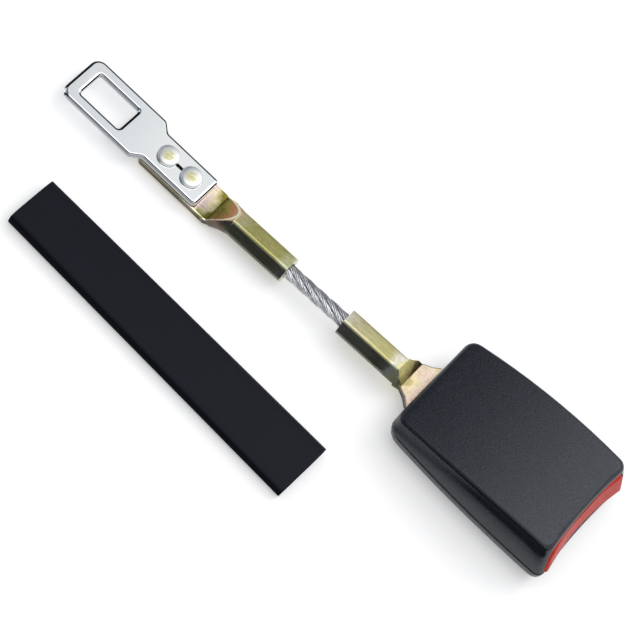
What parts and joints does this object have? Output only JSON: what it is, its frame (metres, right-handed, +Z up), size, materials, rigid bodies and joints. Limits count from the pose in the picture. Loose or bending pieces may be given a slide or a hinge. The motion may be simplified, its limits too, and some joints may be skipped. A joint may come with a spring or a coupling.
{
  "type": "seat belt extender",
  "caption": "Seat belt extender: a chromed tongue joined to a push-button buckle by a short wire rope in pressed tube terminals, with a loose cover sleeve beside it.",
  "frame": {"origin": "centre of the flat underside of the buckle", "axes": "+X from the tongue towards the buckle's mouth, +Z up out of the buckle's top face, -Y towards the loose cover sleeve"},
  "size_m": [0.2465, 0.0965, 0.0261],
  "materials": {
    "chrome": "bright nickel-chrome plate, near mirror",
    "rivet_steel": "pressed steel heads with a thin yellow passivation on the flat",
    "yellow_zinc": "yellow passivated zinc plate with pink and green tints",
    "rope_steel": "galvanised drawn wire",
    "black_moulding": "spark-eroded fine grain",
    "red_moulding": "semi-gloss moulded",
    "bare_steel": "zinc plated, hidden",
    "spring_steel": "drawn spring wire",
    "nylon": "natural nylon",
    "sleeve_black": "soft extruded tube with fine lengthwise lines"
  },
  "bodies": {
    "extender": {"tongue_plate": "chrome", "tongue_rivet_front": "rivet_steel", "tongue_rivet_rear": "rivet_steel", "tongue_terminal": "yellow_zinc", "rope_core": "rope_steel", "rope_strand_1": "rope_steel", "rope_strand_2": "rope_steel", "rope_strand_3": "rope_steel", "rope_strand_4": "rope_steel", "rope_strand_5": "rope_steel", "rope_strand_6": "rope_steel", "buckle_terminal": "yellow_zinc", "upper_cover": "black_moulding", "lower_cover": "black_moulding", "buckle_frame": "bare_steel", "frame_rivet_left": "bare_steel", "frame_rivet_right": "bare_steel", "latch_pin": "bare_steel", "button_spring_left": "spring_steel", "button_spring_right": "spring_steel", "ejector_spring": "spring_steel", "cover_sleeve": "sleeve_black"},
    "button": {"release_button": "red_moulding"},
    "latch": {"latch": "bare_steel", "lift_pin": "bare_steel", "latch_spring": "spring_steel"},
    "ejector": {"ejector": "nylon"}
  },
  "joints": [
    {"name": "button_press", "type": "slide", "parent": "extender", "child": "button", "axis": [-1, 0, 0], "range_m": [0, 0.0055], "stiffness_N_per_m": 600, "springref_m": -0.004, "deforming": ["button_spring_left", "button_spring_right"]},
    {"name": "latch_hinge", "type": "hinge", "parent": "extender", "child": "latch", "pos_m": [-0.01875, 0, 0.0114], "axis": [0, -1, 0], "range_deg": [0, 15.5]},
    {"name": "ejector_slide", "type": "slide", "parent": "extender", "child": "ejector", "axis": [-1, 0, 0], "range_m": [0, 0.007], "stiffness_N_per_m": 250, "springref_m": -0.004, "deforming": ["ejector_spring"]}
  ],
  "couplings": [
    {"joint": "latch_hinge", "follows": "button_press", "rad_per_m": 49.18}
  ]
}
